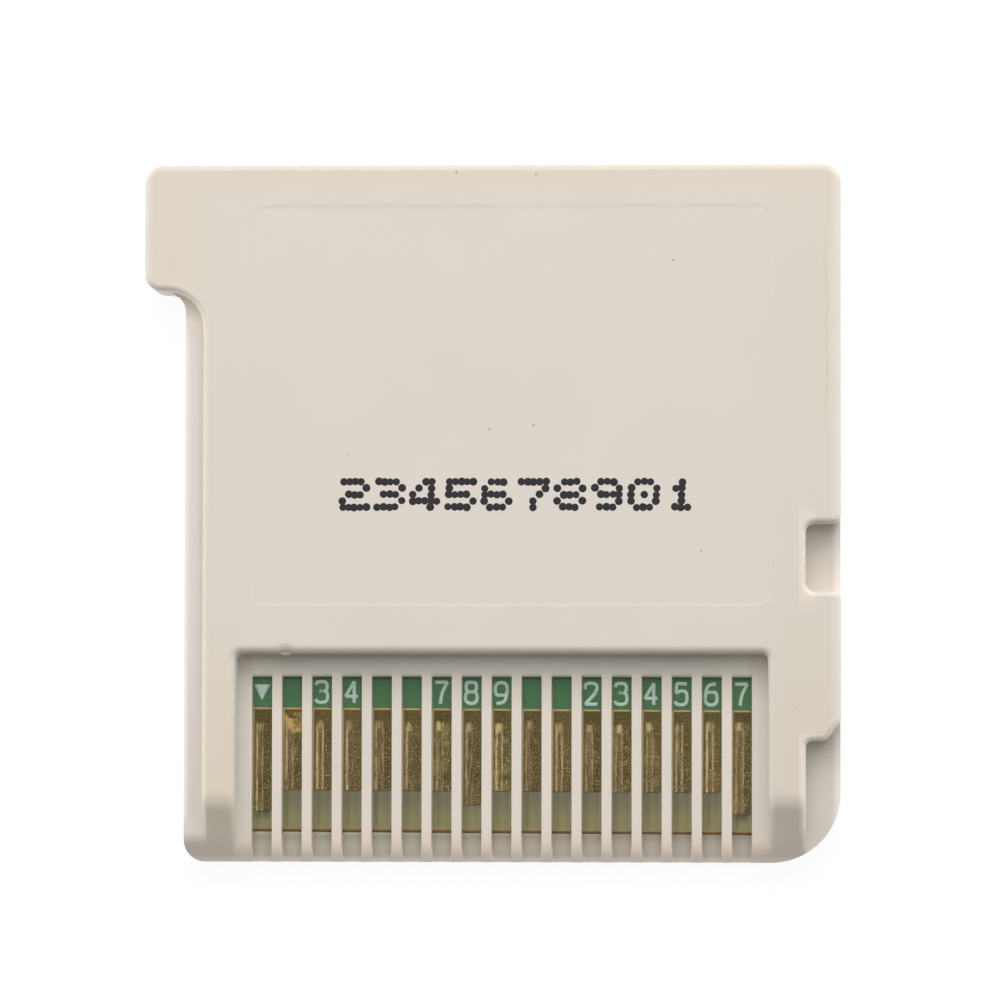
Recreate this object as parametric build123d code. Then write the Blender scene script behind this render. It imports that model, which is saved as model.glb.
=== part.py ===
from build123d import *

import os
from math import cos, radians, sin, tan

# Game card for a handheld console: two welded shells around a circuit board with a row of contacts.
# Millimetres. The card lies on its label side, with the contacts looking up, the contact edge towards -Y
# and the key tab at the grip end of the -X side. The origin is the middle of the card's box, on the plane
# that the card rests on.

# Outline of the card
card_width = 33.0  # body without the key tab
card_length = 35.0
card_thickness = 3.8
tab_reach = 1.95  # key tab beyond the left side of the body
tab_length = 6.3
grip_corner_radius = 0.9  # corners of the grip edge
tab_corner_radius = 0.8  # free corner of the tab
tab_neck = 0.15  # straight part of the tab's lower side, front shell
contact_corner_radius = 1.0  # left corner of the contact edge
lead_corner_radius = 3.5  # right corner of the contact edge
rear_tab_fillet = 1.9  # inner corner under the tab, rear shell
edge_radius = 0.3  # rounding of the rear face's outer edges
label_edge_radius = 0.4  # rounding of the label face's outer edges

# Levels above the label face
front_wall = 0.8
lip_level = 1.45  # front shell's lip, where it meets the board
side_floor_level = 1.9  # floors of the side notch and of the stepped corner
grille_level = 2.05  # ribs and ledge of the contact recess
parting_level = 2.4  # seam of the two shells, and the guide flange
rear_wall = 0.8

# Widths across the contact end, from the left side to the right side
flange_width = 1.0  # guide flange that the rear shell leaves free on the left
left_rail_width = 1.695
left_ledge_width = 0.69  # from the recess wall to the first slot
right_ledge_width = 0.79  # from the last slot to the recess wall
right_rail_width = 1.885
side_cut_depth = 1.75  # depth of the notch and of the stepped corner

# Cut-outs of the right side
notch_length = 3.4
notch_from_contact_edge = 13.6
notch_corner_radius = 0.45
stepped_corner_length = 6.1
stepped_corner_radius = 0.3
chamfer_run = 0.75  # slanted shoulder above the stepped corner
chamfer_rise = 1.0
shoulder_radius = 0.4
mouth_radius = 0.4

# Lead-in slope at the contact edge
slope_angle = 37.0
slope_foot_level = 1.55  # where the slope's plane meets the contact edge
rail_blend = 1.6  # rounded start of the slope on the rails
flange_blend = 1.1  # the same on the flange
rib_blend = 1.25  # the same on ribs and ledge

# Contact recess and its grille
contact_count = 17
recess_corner_radius = 0.3
recess_rim_radius = 0.4
slot_length = 9.3
slot_width = 1.03  # at the top of the ribs
slot_head_radius = 0.22  # rounding above the inner end of each slot
head_ledge_width = 1.17  # from the inner end of the slots to the recess wall
rib_draft = 6.0
recess_wall = 0.8  # between the recess and the chip bay

# Shallow panels of the two faces
panel_width = 26.2
panel_length = 20.23
panel_from_grip_edge = 1.97
panel_depth = 0.018
panel_border = 0.2  # width of the slope around the panel
panel_corner_radius = 0.8
label_width = 27.0
label_length = 27.5
label_from_grip_edge = 2.4
label_depth = 0.12
label_corner_radius = 1.2
arrow_width = 2.4  # insertion arrow below the label
arrow_length = 1.5
arrow_from_contact_edge = 1.9
arrow_depth = 0.1

# Inside of the shells
grip_wall = 1.2
lip_depth = 1.7  # from the contact edge to the cavity
lip_slope = 20.0  # the lip falls towards the contact edge, below the slots
rib_foot_length = 1.38  # part of ribs and rails that stands on the lip
skirt_wall = 0.7  # rear shell's skirt, which stands inside the front shell
fit_clearance = 0.1
cavity_corner_radius = 0.8
bay_corner_radius = 0.5
stop_width = 3.0  # ribs that keep the board from sliding to the grip edge
stop_thickness = 0.8
stop_spacing = 16.0
stop_clearance = 0.2

# Circuit board and its contacts
board_thickness = 0.8
board_length = 28.9
board_clearance = 0.25  # to the side walls of the front shell
board_from_contact_edge = 1.485
board_edge_gap = 0.03  # around the board's edge in the nest of the lip
board_skew = 0.3  # the board and its nest lie a little turned
board_edge_chamfer = 0.1
mask_thickness = 0.03
mask_margin = 0.2
pad_thickness = 0.04
pad_clearance = 0.06  # under the ribs
pad_gap = 0.39  # between neighbouring pads
pad_corner_chamfer = 0.12
pad_head = 6.22  # upper end of the pads from the board's contact edge
pad_foot = 2.09  # lower end of the pads from the board's contact edge
supply_pad_foot = 1.38
ground_pad_foot = 1.01
supply_pad_index = 8  # the grounds are the first and the last pad

# Chips and capacitors, each placed by its middle from a side of the board and from the board's far end
memory_chip_width = 13.0
memory_chip_length = 12.0
memory_chip_height = 0.95
memory_chip_from_left = 8.95
memory_chip_from_head = 9.85
memory_lead_count = 14
memory_lead_pitch = 0.8
memory_lead_width = 0.3
save_chip_width = 4.4
save_chip_length = 3.0
save_chip_height = 0.85
save_chip_from_right = 4.65
save_chip_from_head = 7.05
save_lead_count = 4
save_lead_pitch = 0.65
save_lead_width = 0.25
chip_standoff = 0.08
chip_draft = 8.0
dimple_radius = 0.4
dimple_inset = 0.9
dimple_depth = 0.06
lead_thickness = 0.13
lead_shoulder = 0.2
lead_slant = 0.25
lead_foot = 0.55
capacitor_length = 1.6
capacitor_width = 0.8
capacitor_height = 0.75
capacitor_cap_length = 0.35
capacitor_cap_step = 0.03  # metal ends stand this far outside the ceramic
capacitor_count = 3
capacitor_from_right = 4.65
capacitor_from_head = 11.25  # first of the row
capacitor_spacing = 2.0

# Room by which cutting tools run past a surface, and distance within which two places count as one
overrun = 1.0
match = 0.0001

# Places that follow from the sizes above
right_side = (card_width + tab_reach) / 2
left_side = right_side - card_width
tab_side = -right_side
grip_edge = card_length / 2
contact_edge = -card_length / 2
body_middle = (left_side + right_side) / 2
tab_foot = grip_edge - tab_length
front_tab_fillet = tab_reach - tab_corner_radius - tab_neck
rear_left_side = left_side + flange_width
cut_side = right_side - side_cut_depth
notch_foot = contact_edge + notch_from_contact_edge
notch_head = notch_foot + notch_length
shoulder_foot = contact_edge + stepped_corner_length

recess_left = rear_left_side + left_rail_width
recess_right = cut_side - right_rail_width
row_left = recess_left + left_ledge_width
row_right = recess_right - right_ledge_width
row_middle = (row_left + row_right) / 2
contact_pitch = (row_right - row_left - slot_width) / (contact_count - 1)
slot_head = contact_edge + slot_length
recess_head = slot_head + head_ledge_width

cavity_left = recess_left - skirt_wall - fit_clearance
cavity_right = recess_right + skirt_wall + fit_clearance
cavity_middle = (cavity_left + cavity_right) / 2
cavity_head = grip_edge - grip_wall
cavity_foot = contact_edge + lip_depth
rib_foot_head = contact_edge + rib_foot_length

board_top = front_wall + board_thickness
board_width = cavity_right - cavity_left - 2 * board_clearance
board_foot = contact_edge + board_from_contact_edge
board_head = board_foot + board_length
board_middle = (board_foot + board_head) / 2
board_place = Location((cavity_middle, board_middle, board_top), (0, 0, -board_skew))
mask_top = board_top + mask_thickness
ceiling = card_thickness - rear_wall
slope_rise = tan(radians(slope_angle))


def slab(outline, low, high):
    """Prism of a flat outline between two levels."""
    return extrude(Pos(0, 0, low) * outline, amount=high - low)


def rectangle(left, right, foot, head, radii=(0, 0, 0, 0)):
    """Rectangle by its sides, with corner radii from the lower left corner, counterclockwise."""
    corners = [(left, foot), (right, foot), (right, head), (left, head)]
    return make_face(FilletPolyline(*corners, radius=radii, close=True))


def slope_lines(level, blend):
    """Side view in Y and Z of the lead-in: a rounded start at the level, then the slope past the edge."""
    crest = contact_edge + (level - slope_foot_level) / slope_rise
    start = (crest + blend * tan(radians(slope_angle / 2)), level)
    bend = JernArc(start, (-1, 0), blend, slope_angle)
    run_out = (crest - contact_edge + overrun) / cos(radians(slope_angle))
    end = bend @ 1 + Vector(-cos(radians(slope_angle)), -sin(radians(slope_angle))) * run_out
    return bend, Line(bend @ 1, end)


def above_slope(level, blend, left, right):
    """Space that the lead-in slope takes off a surface at the given level."""
    bend, ramp = slope_lines(level, blend)
    start = bend @ 0
    end = ramp @ 1
    over = card_thickness + overrun
    rest = Polyline(end, (end.X, over), (start.X, over), start)
    side_view = make_face([bend, ramp, *rest.edges()])
    return Pos(left, 0, 0) * extrude(Plane.YZ * side_view, amount=right - left)


def below_slope(level, blend, back, left, right):
    """Material under a surface at the given level that ends in the lead-in slope."""
    bend, ramp = slope_lines(level, blend)
    start = bend @ 0
    end = ramp @ 1
    rest = Polyline(end, (end.X, -overrun), (back, -overrun), (back, level), start)
    side_view = make_face([bend, ramp, *rest.edges()])
    return Pos(left, 0, 0) * extrude(Plane.YZ * side_view, amount=right - left)


def crest_edges(solid, side, level, blend):
    """Edges of a sloped block that run along its surface on one side: level part, bend and slope."""
    bend, ramp = slope_lines(level, blend)
    lowest = (ramp @ 1).Y
    on_surface = []
    for edge in solid.edges():
        box = edge.bounding_box()
        on_side = max(abs(box.min.X - side), abs(box.max.X - side)) < match
        upright = box.max.Y - box.min.Y < match
        if on_side and not upright and edge.center().Z > lowest:
            on_surface.append(edge)
    return on_surface


def above_lip(left, right):
    """Space above the sloped lip, from the contact edge to the inner end of the rib feet."""
    run = rib_foot_length + overrun
    fall = run * tan(radians(lip_slope))
    over = card_thickness + overrun
    end = rib_foot_head - run
    corners = [(rib_foot_head, lip_level), (end, lip_level - fall), (end, over), (rib_foot_head, over)]
    side_view = make_face(Polyline(*corners, close=True))
    return Pos(left, 0, 0) * extrude(Plane.YZ * side_view, amount=right - left)


def card_outline():
    """Outer edge of the card, seen from the contact side."""
    corners = [
        (left_side, contact_edge),
        (right_side, contact_edge),
        (right_side, grip_edge),
        (tab_side, grip_edge),
        (tab_side, tab_foot),
        (left_side, tab_foot),
    ]
    radii = [
        contact_corner_radius,
        lead_corner_radius,
        grip_corner_radius,
        grip_corner_radius,
        tab_corner_radius,
        front_tab_fillet,
    ]
    return make_face(FilletPolyline(*corners, radius=radii, close=True))


def notched_outline():
    """Card outline with the side notch and the stepped corner cut out."""
    beyond = right_side + overrun
    notch_radii = (notch_corner_radius, 0, 0, notch_corner_radius)
    notch = rectangle(cut_side, beyond, notch_foot, notch_head, notch_radii)
    shoulder_head = shoulder_foot + chamfer_rise
    step_corners = [
        (cut_side, contact_edge - overrun),
        (beyond, contact_edge - overrun),
        (beyond, shoulder_head + overrun * chamfer_rise / chamfer_run),
        (right_side - chamfer_run, shoulder_foot),
        (cut_side, shoulder_foot),
    ]
    step_radii = [0, 0, 0, shoulder_radius, stepped_corner_radius]
    step = make_face(FilletPolyline(*step_corners, radius=step_radii, close=True))
    outline = card_outline() - notch - step
    mouths = []
    for vertex in outline.vertices():
        on_side = abs(vertex.X - right_side) < match
        at_mouth = min(abs(vertex.Y - y) for y in (notch_foot, notch_head, shoulder_head)) < match
        if on_side and at_mouth:
            mouths.append(vertex)
    return fillet(mouths, mouth_radius)


def rear_outline():
    """Notched outline without the guide flange on the left, which only the front shell has."""
    strip = rectangle(
        tab_side - overrun, rear_left_side, contact_edge - overrun, tab_foot, (0, 0, rear_tab_fillet, 0)
    )
    return notched_outline() - strip


def cavity_outline(inset, foot):
    """Inside of the front shell's walls, drawn in by a clearance and ending at the given foot."""
    radius = cavity_corner_radius - inset
    return rectangle(
        cavity_left + inset, cavity_right - inset, foot, cavity_head - inset, (0, 0, radius, radius)
    )


def make_front_shell():
    """Tray on the label side: walls up to the seam, sloped lip before the board, label recess below."""
    base = slab(card_outline(), 0, side_floor_level)
    base = fillet(base.edges().group_by(Axis.Z)[0], label_edge_radius)
    shell = base + slab(notched_outline(), side_floor_level, parting_level)
    shell -= slab(cavity_outline(0, cavity_foot), front_wall, card_thickness)
    over_lip = rectangle(cavity_left, cavity_right, rib_foot_head, cavity_foot)
    shell -= slab(over_lip, lip_level, card_thickness)
    shell -= board_nest()
    shell -= above_lip(rear_left_side, cut_side)
    shell -= above_slope(parting_level, flange_blend, tab_side - overrun, right_side + overrun)
    shell -= label_recess() + insertion_arrow()
    for side in (-1, 1):
        shell += board_stop(row_middle + side * stop_spacing / 2)
    return shell


def board_nest():
    """Cut in the lip that takes the board's contact edge with a small gap all round."""
    half = board_width / 2 + board_edge_gap
    foot = -board_length / 2 - board_edge_gap
    nest = rectangle(-half, half, foot, foot + lip_depth)
    return board_place * slab(nest, -board_thickness, card_thickness)


def label_recess():
    """Shallow bed for the label, centred on the body."""
    head = grip_edge - label_from_grip_edge
    bed = rectangle(
        body_middle - label_width / 2,
        body_middle + label_width / 2,
        head - label_length,
        head,
        [label_corner_radius] * 4,
    )
    return slab(bed, -overrun, label_depth)


def insertion_arrow():
    """Moulded triangle that points to the contact edge."""
    tip = contact_edge + arrow_from_contact_edge
    corners = [
        (body_middle, tip),
        (body_middle + arrow_width / 2, tip + arrow_length),
        (body_middle - arrow_width / 2, tip + arrow_length),
    ]
    return slab(make_face(Polyline(*corners, close=True)), -overrun, arrow_depth)


def board_stop(middle):
    """Short rib on the floor behind the board."""
    foot = board_head + stop_clearance
    bar = rectangle(middle - stop_width / 2, middle + stop_width / 2, foot, foot + stop_thickness)
    return slab(bar, front_wall, board_top)


def make_rear_shell():
    """Cover on the contact side: panel, chip bay, contact recess with its grille, and sloped rails."""
    slope_start = (slope_lines(card_thickness, rail_blend)[0] @ 0).X
    rail_start = (shoulder_foot + slope_start) / 2
    outline = rear_outline()
    below = rectangle(tab_side - overrun, right_side + overrun, contact_edge - overrun, rail_start)

    plug = slab(cavity_outline(fit_clearance, rib_foot_head), mask_top, parting_level)
    plug += above_lip(rear_left_side, cut_side) & slab(card_outline(), 0, parting_level)
    lower_room = slab(outline & below, parting_level, card_thickness)
    lower_room += plug & slab(below, 0, card_thickness)

    shell = upper_cover(outline - below, rail_start) + (plug - slab(below, 0, card_thickness))
    shell -= slab(recess_outline(rail_start), grille_level, parting_level)
    shell += lower_room & sloped_blocks(rail_start)
    shell -= chip_bay()
    shell -= pad_relief()
    for index in range(contact_count):
        shell -= contact_slot(row_middle + (index - (contact_count - 1) / 2) * contact_pitch)
    return round_slot_heads(shell)


def recess_outline(rail_start):
    """Contact recess above the start of the slope, open towards the contact edge."""
    radii = (0, 0, recess_corner_radius, recess_corner_radius)
    return rectangle(recess_left, recess_right, rail_start - overrun, recess_head, radii)


def round_slot_heads(shell):
    """Rounds the ledge's edge above the inner end of each slot."""
    heads = []
    for edge in shell.edges().filter_by(Axis.X):
        place = edge.center()
        at_head = abs(place.Y - slot_head) < match and abs(place.Z - grille_level) < match
        if at_head and row_left - match < place.X < row_right + match:
            heads.append(edge)
    return fillet(heads, slot_head_radius)


def upper_cover(outline, rail_start):
    """Part of the cover above the seam that has no slope, with rounded rims and the shallow panel."""
    cover = slab(outline, parting_level, card_thickness)
    rim = [e for e in cover.edges().group_by(Axis.Z)[-1] if e.center().Y > rail_start + match]
    cover = fillet(rim, edge_radius)
    cover -= slab(recess_outline(rail_start), parting_level, card_thickness)
    recess_rim = []
    for edge in cover.edges().group_by(Axis.Z)[-1]:
        place = edge.center()
        in_width = recess_left - match < place.X < recess_right + match
        in_length = rail_start + match < place.Y < recess_head + match
        if in_width and in_length:
            recess_rim.append(edge)
    return fillet(recess_rim, recess_rim_radius) - shallow_panel()


def panel_outline(inset):
    """Outline of the shallow panel, drawn in by an inset."""
    head = grip_edge - panel_from_grip_edge
    return rectangle(
        body_middle - panel_width / 2 + inset,
        body_middle + panel_width / 2 - inset,
        head - panel_length + inset,
        head - inset,
        [panel_corner_radius - inset] * 4,
    )


def shallow_panel():
    """Shallow field of the rear face, whose border slopes gently down to its floor."""
    top = Pos(0, 0, card_thickness) * panel_outline(0)
    floor = Pos(0, 0, card_thickness - panel_depth) * panel_outline(panel_border)
    return loft([top, floor], ruled=True)


def sloped_blocks(rail_start):
    """Rails with rounded sides beside the lower ledge, all ending in the lead-in slope. Ledge and flange
    carry on under the roundings, so that the slopes of rail, flange and ledge run together."""
    blocks = below_slope(grille_level, rib_blend, rail_start, rear_left_side, cut_side)
    fill_side = rear_left_side + edge_radius
    blocks += below_slope(parting_level, flange_blend, rail_start, rear_left_side, fill_side)
    for outer, inner in ((rear_left_side, recess_left), (cut_side, recess_right)):
        rail = below_slope(card_thickness, rail_blend, rail_start, min(outer, inner), max(outer, inner))
        rail = fillet(crest_edges(rail, outer, card_thickness, rail_blend), edge_radius)
        rail = fillet(crest_edges(rail, inner, card_thickness, rail_blend), recess_rim_radius)
        blocks += rail
    return blocks


def chip_bay():
    """Hollow under the closed part of the cover."""
    bay = rectangle(
        recess_left,
        recess_right,
        recess_head + recess_wall,
        cavity_head - fit_clearance - skirt_wall,
        [bay_corner_radius] * 4,
    )
    return slab(bay, 0, ceiling)


def pad_relief():
    """Room under the grille that keeps the ribs off the contacts."""
    width = contact_count * contact_pitch
    under = rectangle(
        row_middle - width / 2, row_middle + width / 2, rib_foot_head, recess_head + recess_wall + overrun
    )
    return slab(under, board_top, board_top + pad_thickness + pad_clearance)


def contact_slot(middle):
    """Slot between two ribs, open at the contact edge. It narrows by the draft of the ribs down to the lip's
    level, and is straight below it."""
    low = lip_level - overrun
    high = grille_level + overrun
    flare = tan(radians(rib_draft))
    low_half = slot_width / 2 - (grille_level - lip_level) * flare
    high_half = slot_width / 2 + overrun * flare
    right_line = [(low_half, low), (low_half, lip_level), (high_half, high)]
    corners = right_line + [(-x, z) for x, z in reversed(right_line)]
    section = make_face(Polyline(*corners, close=True))
    length = slot_length + overrun
    return Pos(middle, slot_head, 0) * extrude(Plane.XZ * section, amount=length)


def make_circuit_board():
    """Laminate board with a bevel along its contact edge."""
    foot = -board_length / 2
    board = Pos(0, 0, -board_thickness / 2) * Box(board_width, board_length, board_thickness)
    lower_edges = board.edges().filter_by(Axis.X).filter_by(lambda e: abs(e.center().Y - foot) < match)
    return board_place * chamfer(lower_edges, board_edge_chamfer)


def make_solder_mask():
    """Green film from the heads of the contacts to the far end of the board."""
    half = board_width / 2 - mask_margin
    film = rectangle(-half, half, pad_head - board_length / 2, board_length / 2 - mask_margin)
    return board_place * slab(film, 0, mask_thickness)


def make_contact_pad(number):
    """Plated contact; the supply and ground contacts reach further down, so that they meet first."""
    foot = pad_foot
    if number == supply_pad_index:
        foot = supply_pad_foot
    if number in (1, contact_count):
        foot = ground_pad_foot
    middle = row_middle - cavity_middle + (number - (contact_count + 1) / 2) * contact_pitch
    half = (contact_pitch - pad_gap) / 2
    low = foot - board_length / 2
    high = pad_head - board_length / 2
    outline = rectangle(middle - half, middle + half, low, high)
    outline = chamfer(outline.vertices(), pad_corner_chamfer)
    return board_place * slab(outline, 0, pad_thickness)


def from_left(across, from_head):
    """Place on the film of the board, from its left side and its far end."""
    return board_place * Pos(across - board_width / 2, board_length / 2 - from_head, mask_thickness)


def from_right(across, from_head):
    """Place on the film of the board, from its right side and its far end."""
    return board_place * Pos(board_width / 2 - across, board_length / 2 - from_head, mask_thickness)


def make_chip_body(width, length, height, place):
    """Moulded package whose sides taper up and down from its middle plane, with a dimple at lead one."""
    middle = chip_standoff + height / 2
    outline = Pos(0, 0, middle) * Rectangle(width, length)
    body = extrude(outline, amount=height / 2, taper=chip_draft)
    body += extrude(outline, amount=-height / 2, taper=chip_draft)
    dimple = Pos(dimple_inset - width / 2, length / 2 - dimple_inset, chip_standoff + height)
    body -= dimple * Cylinder(dimple_radius, 2 * dimple_depth)
    return place * body


def make_chip_leads(width, height, place, count, pitch, lead_width):
    """Gull wing leads on the two sides of a package: shoulder, slant and foot of one bent strip."""
    middle = chip_standoff + height / 2
    sole = lead_thickness / 2
    start = width / 2
    bends = [
        (start, middle),
        (start + lead_shoulder, middle),
        (start + lead_shoulder + lead_slant, sole),
        (start + lead_shoulder + lead_slant + lead_foot, sole),
    ]
    strip = trace(Polyline(*bends), lead_thickness)
    lead = Pos(0, lead_width / 2, 0) * extrude(Plane.XZ * strip, amount=lead_width)
    leads = []
    for index in range(count):
        along = (index - (count - 1) / 2) * pitch
        leads.append(place * Pos(0, along, 0) * lead)
        leads.append(place * Pos(0, along, 0) * Rot(0, 0, 180) * lead)
    return Compound(children=leads)


def make_capacitor(place):
    """Ceramic block with a metal cap over each end."""
    ceramic_width = capacitor_width - 2 * capacitor_cap_step
    ceramic_height = capacitor_height - 2 * capacitor_cap_step
    block = Box(capacitor_length - capacitor_cap_length, ceramic_width, ceramic_height)
    cap = Box(capacitor_cap_length, capacitor_width, capacitor_height)
    for side in (-1, 1):
        block += Pos(side * (capacitor_length - capacitor_cap_length) / 2, 0, 0) * cap
    return place * Pos(0, 0, capacitor_height / 2) * block


memory_chip_place = from_left(memory_chip_from_left, memory_chip_from_head)
save_chip_place = from_right(save_chip_from_right, save_chip_from_head)
nodes = {
    "front_shell": make_front_shell(),
    "rear_shell": make_rear_shell(),
    "circuit_board": make_circuit_board(),
    "solder_mask": make_solder_mask(),
    "memory_chip": make_chip_body(
        memory_chip_width, memory_chip_length, memory_chip_height, memory_chip_place
    ),
    "memory_chip_leads": make_chip_leads(
        memory_chip_width,
        memory_chip_height,
        memory_chip_place,
        memory_lead_count,
        memory_lead_pitch,
        memory_lead_width,
    ),
    "save_chip": make_chip_body(save_chip_width, save_chip_length, save_chip_height, save_chip_place),
    "save_chip_leads": make_chip_leads(
        save_chip_width, save_chip_height, save_chip_place, save_lead_count, save_lead_pitch, save_lead_width
    ),
}
for pad_number in range(1, contact_count + 1):
    nodes[f"contact_pad_{pad_number:02d}"] = make_contact_pad(pad_number)
for capacitor_number in range(1, capacitor_count + 1):
    down = capacitor_from_head + (capacitor_number - 1) * capacitor_spacing
    nodes[f"capacitor_{capacitor_number}"] = make_capacitor(from_right(capacitor_from_right, down))

os.makedirs("parts", exist_ok=True)
for name, shape in nodes.items():
    export_step(shape, f"parts/{name}.step")
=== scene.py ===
from math import atan2, cos, hypot, pi, radians, sin, tan

import bmesh
import bpy
import numpy as np
from mathutils import Matrix, Vector


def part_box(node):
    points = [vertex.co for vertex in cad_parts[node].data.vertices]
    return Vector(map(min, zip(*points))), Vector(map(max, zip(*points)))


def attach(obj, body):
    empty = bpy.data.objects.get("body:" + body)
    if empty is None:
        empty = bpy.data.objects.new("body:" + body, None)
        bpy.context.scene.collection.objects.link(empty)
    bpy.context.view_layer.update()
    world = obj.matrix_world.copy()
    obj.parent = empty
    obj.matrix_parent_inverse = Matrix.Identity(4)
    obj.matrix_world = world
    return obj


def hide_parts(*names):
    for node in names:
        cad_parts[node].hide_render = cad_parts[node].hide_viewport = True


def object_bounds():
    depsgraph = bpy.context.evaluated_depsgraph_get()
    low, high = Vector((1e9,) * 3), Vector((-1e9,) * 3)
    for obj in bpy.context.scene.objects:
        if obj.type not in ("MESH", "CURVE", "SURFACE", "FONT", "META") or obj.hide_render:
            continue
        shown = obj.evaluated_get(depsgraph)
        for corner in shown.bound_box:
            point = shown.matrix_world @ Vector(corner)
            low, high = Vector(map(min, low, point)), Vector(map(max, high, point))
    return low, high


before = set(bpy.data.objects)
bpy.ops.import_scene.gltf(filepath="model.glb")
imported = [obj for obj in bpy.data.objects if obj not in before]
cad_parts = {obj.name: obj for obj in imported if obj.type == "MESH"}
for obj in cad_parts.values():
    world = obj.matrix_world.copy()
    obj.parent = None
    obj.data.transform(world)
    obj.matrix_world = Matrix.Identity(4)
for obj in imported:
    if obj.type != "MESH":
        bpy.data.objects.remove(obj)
cad_low, cad_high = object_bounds()

# Looks of a small game card that lies on its label side, contacts up, contact edge towards -Y.
# Sizes and places are in millimetres, and MM turns them into the metres of the frame.
MM = 0.001

# Camera of the photograph
CAMERA_EYE = (13.0, -13.0, 300.0)
CAMERA_AIM = (0.2691, 0.8188, 0.0)
CAMERA_ROLL = radians(0.1074)
CAMERA_LENS = 213.31
SENSOR_WIDTH = 36.0

# Light: levels on a level surface, where 1 in all renders a colour about as written
SKY_LEVEL = 0.12
SKY_COLOUR = (0.95, 1.0, 0.98, 1.0)
WARM_LIGHT = (1.0, 0.985, 0.975)
COOL_LIGHT = (0.86, 0.95, 1.0)
BOX_DISTANCE = 500.0
BOX_WIDTH = 600.0
BOX_STEPS = 48  # points along each side of a box, which its power is worked out from
SOFT_BOXES = {
    # level, turn from the grip edge's direction towards the left, elevation, height, colour
    "key": (0.41, 0.0, 42.5, 268.0, WARM_LIGHT),
    "overhead": (0.335, 0.0, 70.0, 268.0, WARM_LIGHT),
    "left_fill": (0.046, 90.0, 8.0, 120.0, COOL_LIGHT),
    "right_fill": (0.042, -90.0, 8.0, 120.0, COOL_LIGHT),
}
FLOOR_HALF = 2000.0
FLOOR_DROP = 0.02  # keeps the floor just clear of the label face
FLOOR_WHITE = 0.9  # what the floor throws back on the card
FLOOR_ROUGHNESS = 0.9
FLOOR_GLOW = 0.94  # its own light where it is seen directly
FLOOR_SHADE = 0.08  # what it takes from the lamps there, which keeps the shadow


def millimetres(node):
    """Lowest and highest corner of a CAD node in millimetres."""
    low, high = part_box(node)
    return np.array(low) / MM, np.array(high) / MM


# Places of the card, read from the frame
CONTACT_COUNT = 17
LEFT, CONTACT_EDGE, LABEL_FACE = np.array(cad_low) / MM
RIGHT, GRIP_EDGE, REAR_FACE = np.array(cad_high) / MM
BOARD_LOW, BOARD_HIGH = millimetres("circuit_board")
FILM_TOP = millimetres("solder_mask")[1][2]
PAD_LOW, PAD_HIGH = millimetres("contact_pad_01")
FIRST_PAD = (PAD_LOW + PAD_HIGH) / 2
LAST_PAD = sum(millimetres(f"contact_pad_{CONTACT_COUNT:02d}")) / 2
ROW_MIDDLE = (FIRST_PAD + LAST_PAD) / 2
ROW_RUN, ROW_RISE = (LAST_PAD - FIRST_PAD)[:2]
ROW_TURN = atan2(ROW_RISE, ROW_RUN)
CONTACT_PITCH = hypot(ROW_RISE, ROW_RUN) / (CONTACT_COUNT - 1)
PAD_HEAD = (PAD_HIGH[1] - PAD_LOW[1]) / 2  # along the row's own upright axis, from the middle of the row

# Places of the moulded forms
LIP_FOOT = 0.8  # the lip's rims lie above this level
LIP_LEVEL = 1.45  # where the lip meets the board
FLANGE_FOOT = 1.5  # the flange's rims lie above this level
SIDE_FLOOR_LEVEL = 1.9  # floors of the side notch and of the stepped corner
GRILLE_LEVEL = 2.05  # ribs and ledges of the contact recess
SEAM_LEVEL = 2.4  # seam of the two shells, and the guide flange
PANEL_DEPTH = 0.018
PANEL_LEVEL = REAR_FACE - PANEL_DEPTH
FLANGE_SIDE = LEFT + 1.95  # outer side of the guide flange, next to the tab
RAIL_SIDE = FLANGE_SIDE + 1.0  # outer side of the left rail
SIDE_CUT = RIGHT - 1.75  # inner wall of the side notch and of the stepped corner
TAB_FOOT = GRIP_EDGE - 8.0  # where the fillet under the tab runs out
NOTCH_MIDDLE = CONTACT_EDGE + 15.3
STEP_HEAD = CONTACT_EDGE + 6.1  # upper end of the stepped corner
LEAD_CORNER = 3.5  # radius of the right corner of the contact edge
PANEL_MIDDLE = np.array([(FLANGE_SIDE + RIGHT) / 2, GRIP_EDGE - 12.085])
PANEL_HALF = np.array([13.2, 10.2])  # a little more than half the panel
SLOT_HEAD = CONTACT_EDGE + 9.3
RECESS_HEAD = CONTACT_EDGE + 10.65  # upper rim of the contact recess
RECESS_HALF = 13.5  # from the middle of the row to the side rims of the recess
ROW_HALF = 12.4  # from the middle of the row to its outermost slots
BOARD_REACH = 6.22  # from the heads of the contacts to the cut edge of the board

# Copies of the shells
MERGE_REACH = 1e-4  # corners of CAD triangles that are closer than this become one
BEVEL_MERGE_REACH = 1e-5  # the same for the points of finished bevels
FLAT_ANGLE = radians(0.2)  # neighbours that turn by less become one face
SHARP_ANGLE = radians(35)  # edges that turn by more are softened
RIM_BEVEL = 0.15  # on free outer rims
EDGE_BEVEL = 0.04  # on all other sharp edges
NEAR = 0.01  # what is closer than this to a place lies on it
EVEN = 0.001  # ends of a level edge differ by less than this
RIM_FALL = 0.4  # ends of a rim differ by less than this

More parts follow.
